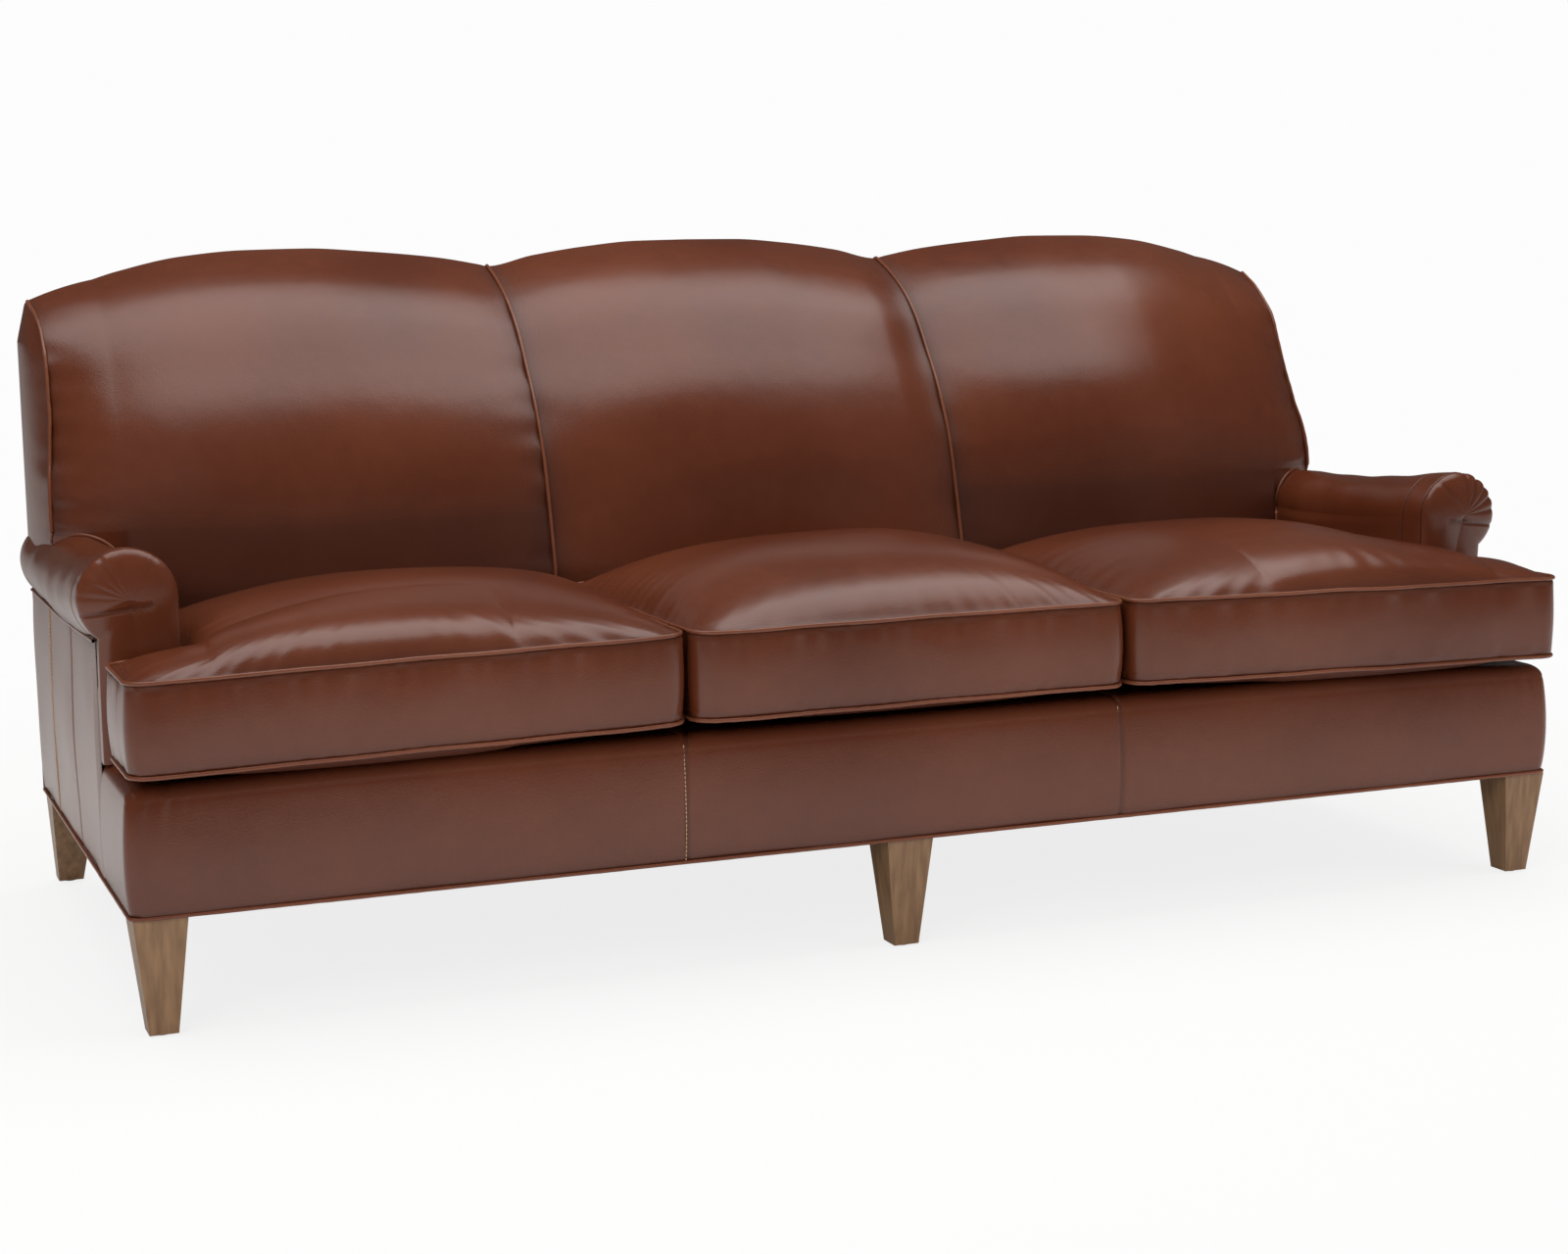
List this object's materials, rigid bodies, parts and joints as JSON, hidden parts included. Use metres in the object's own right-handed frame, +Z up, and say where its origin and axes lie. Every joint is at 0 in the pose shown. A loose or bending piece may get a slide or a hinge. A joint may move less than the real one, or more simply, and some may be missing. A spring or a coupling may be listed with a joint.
{
  "type": "three-seat leather sofa",
  "caption": "Three-seat leather sofa with low rolled arms, a tight back in three crowned lobes, T-shaped outer seat cushions and tapered wooden legs.",
  "frame": {"origin": "on the floor, under the middle of the bounding box", "axes": "+X to the right as seen from the front, along the length; +Y to the back; +Z up"},
  "size_m": [2.1738, 0.983, 0.9782],
  "materials": {
    "leather": "satin",
    "leg_wood": "satin",
    "frame_timber": "matte",
    "steel": "satin",
    "glide": "matte",
    "padding": "matte",
    "cloth": "matte"
  },
  "bodies": {
    "sofa_frame": {"front_rail": "frame_timber", "rear_rail": "frame_timber", "left_side_rail": "frame_timber", "right_side_rail": "frame_timber", "left_seat_brace": "frame_timber", "right_seat_brace": "frame_timber", "seat_back_rail": "frame_timber", "leg_blocks": "frame_timber", "left_arm_post": "frame_timber", "right_arm_post": "frame_timber", "left_arm_rail": "frame_timber", "right_arm_rail": "frame_timber", "left_back_post": "frame_timber", "right_back_post": "frame_timber", "left_back_stile": "frame_timber", "right_back_stile": "frame_timber", "back_top_rail": "frame_timber", "front_left_leg": "leg_wood", "front_centre_leg": "leg_wood", "front_right_leg": "leg_wood", "rear_left_leg": "leg_wood", "rear_centre_leg": "leg_wood", "rear_right_leg": "leg_wood", "leg_glides": "glide", "leg_bolts": "steel", "seat_springs": "steel", "spring_clips": "steel", "deck_pad": "padding", "front_edge_roll": "padding", "left_back_pad": "padding", "centre_back_pad": "padding", "right_back_pad": "padding", "left_arm_pad": "padding", "right_arm_pad": "padding", "deck_cloth": "cloth", "dust_cover": "cloth", "back_webbing": "cloth", "left_front_border": "leather", "centre_front_border": "leather", "right_front_border": "leather", "base_welt": "leather", "left_back_cover": "leather", "centre_back_cover": "leather", "right_back_cover": "leather", "outside_back_panel": "leather", "left_arm_cover": "leather", "right_arm_cover": "leather", "left_outside_arm": "leather", "right_outside_arm": "leather", "arm_welts": "leather", "back_welts": "leather"},
    "left_seat_cushion": {"left_seat_cushion_cover": "leather", "left_seat_cushion_core": "padding", "left_seat_cushion_welts": "leather"},
    "centre_seat_cushion": {"centre_seat_cushion_cover": "leather", "centre_seat_cushion_core": "padding", "centre_seat_cushion_welts": "leather"},
    "right_seat_cushion": {"right_seat_cushion_cover": "leather", "right_seat_cushion_core": "padding", "right_seat_cushion_welts": "leather"}
  },
  "joints": [
    {"name": "left_cushion_lift", "type": "slide", "parent": "sofa_frame", "child": "left_seat_cushion", "axis": [0, -0.5736, 0.8192], "range_m": [0, 0.5]},
    {"name": "centre_cushion_lift", "type": "slide", "parent": "sofa_frame", "child": "centre_seat_cushion", "axis": [0, -0.5736, 0.8192], "range_m": [0, 0.5]},
    {"name": "right_cushion_lift", "type": "slide", "parent": "sofa_frame", "child": "right_seat_cushion", "axis": [0, -0.5736, 0.8192], "range_m": [0, 0.5]}
  ]
}
